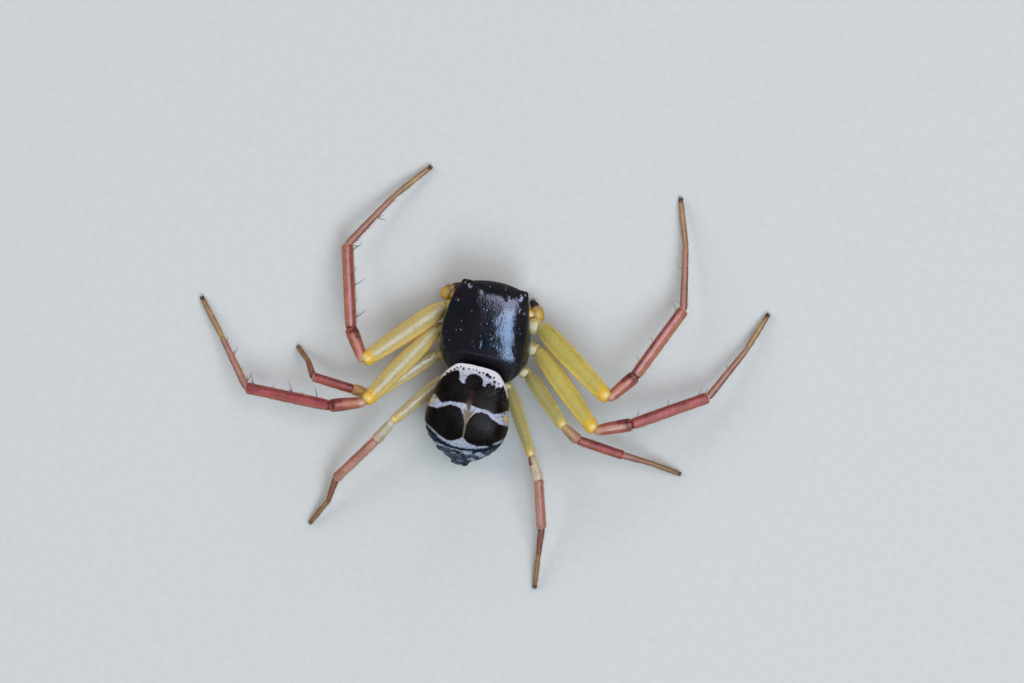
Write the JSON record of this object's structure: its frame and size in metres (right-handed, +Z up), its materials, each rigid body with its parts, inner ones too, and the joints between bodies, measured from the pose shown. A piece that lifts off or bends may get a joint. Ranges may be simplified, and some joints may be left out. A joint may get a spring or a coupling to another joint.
{
  "type": "crab spider",
  "caption": "Life-size still model of a crab spider standing with spread legs, with a tall glossy black head shield, a black and white abdomen, yellow thighs and red shins.",
  "frame": {"origin": "on the ground under the middle of the box round the whole spider, legs included", "axes": "+Z up, the head towards -Y, the spider's left towards +X"},
  "size_m": [0.0204, 0.0148, 0.0031],
  "materials": {
    "black_shell": "glossy black shell with fine grains",
    "eye_lens": "polished black lens",
    "abdomen_skin": "satin black skin with bluish white bands",
    "spinneret_skin": "matt blue-grey",
    "mouthpart_skin": "satin dark brown",
    "palp_skin": "satin orange-yellow with a dark tip",
    "pale_hip": "satin pale yellow",
    "yellow_thigh": "satin yellow, slightly see-through",
    "pale_thigh": "satin pale yellow-green, slightly see-through",
    "red_knee": "satin dusky red",
    "pale_knee": "satin pale yellow",
    "red_shin": "satin rose red",
    "brown_foot": "satin red-brown with a dark claw tuft"
  },
  "bodies": {
    "root": {"carapace": "black_shell", "sternum": "black_shell", "chelicera_left": "black_shell", "chelicera_right": "black_shell", "eye_front_middle_left": "eye_lens", "eye_front_middle_right": "eye_lens", "eye_front_side_left": "eye_lens", "eye_front_side_right": "eye_lens", "eye_back_middle_left": "eye_lens", "eye_back_middle_right": "eye_lens", "eye_back_side_left": "eye_lens", "eye_back_side_right": "eye_lens", "abdomen": "abdomen_skin", "spinnerets": "spinneret_skin", "mouthparts": "mouthpart_skin", "palp_left": "palp_skin", "palp_right": "palp_skin", "leg_1_left_coxa": "pale_hip", "leg_1_left_femur": "yellow_thigh", "leg_1_left_patella": "red_knee", "leg_1_left_tibia": "red_shin", "leg_1_left_foot": "brown_foot", "leg_1_right_coxa": "pale_hip", "leg_1_right_femur": "yellow_thigh", "leg_1_right_patella": "red_knee", "leg_1_right_tibia": "red_shin", "leg_1_right_foot": "brown_foot", "leg_2_left_coxa": "pale_hip", "leg_2_left_femur": "yellow_thigh", "leg_2_left_patella": "red_knee", "leg_2_left_tibia": "red_shin", "leg_2_left_foot": "brown_foot", "leg_2_right_coxa": "pale_hip", "leg_2_right_femur": "yellow_thigh", "leg_2_right_patella": "red_knee", "leg_2_right_tibia": "red_shin", "leg_2_right_foot": "brown_foot", "leg_3_left_coxa": "pale_hip", "leg_3_left_femur": "pale_thigh", "leg_3_left_patella": "pale_knee", "leg_3_left_tibia": "red_shin", "leg_3_left_foot": "brown_foot", "leg_3_right_coxa": "pale_hip", "leg_3_right_femur": "pale_thigh", "leg_3_right_patella": "pale_knee", "leg_3_right_tibia": "red_shin", "leg_3_right_foot": "brown_foot", "leg_4_left_coxa": "pale_hip", "leg_4_left_femur": "pale_thigh", "leg_4_left_patella": "pale_knee", "leg_4_left_tibia": "red_shin", "leg_4_left_foot": "brown_foot", "leg_4_right_coxa": "pale_hip", "leg_4_right_femur": "pale_thigh", "leg_4_right_patella": "pale_knee", "leg_4_right_tibia": "red_shin", "leg_4_right_foot": "brown_foot"}
  },
  "joints": []
}
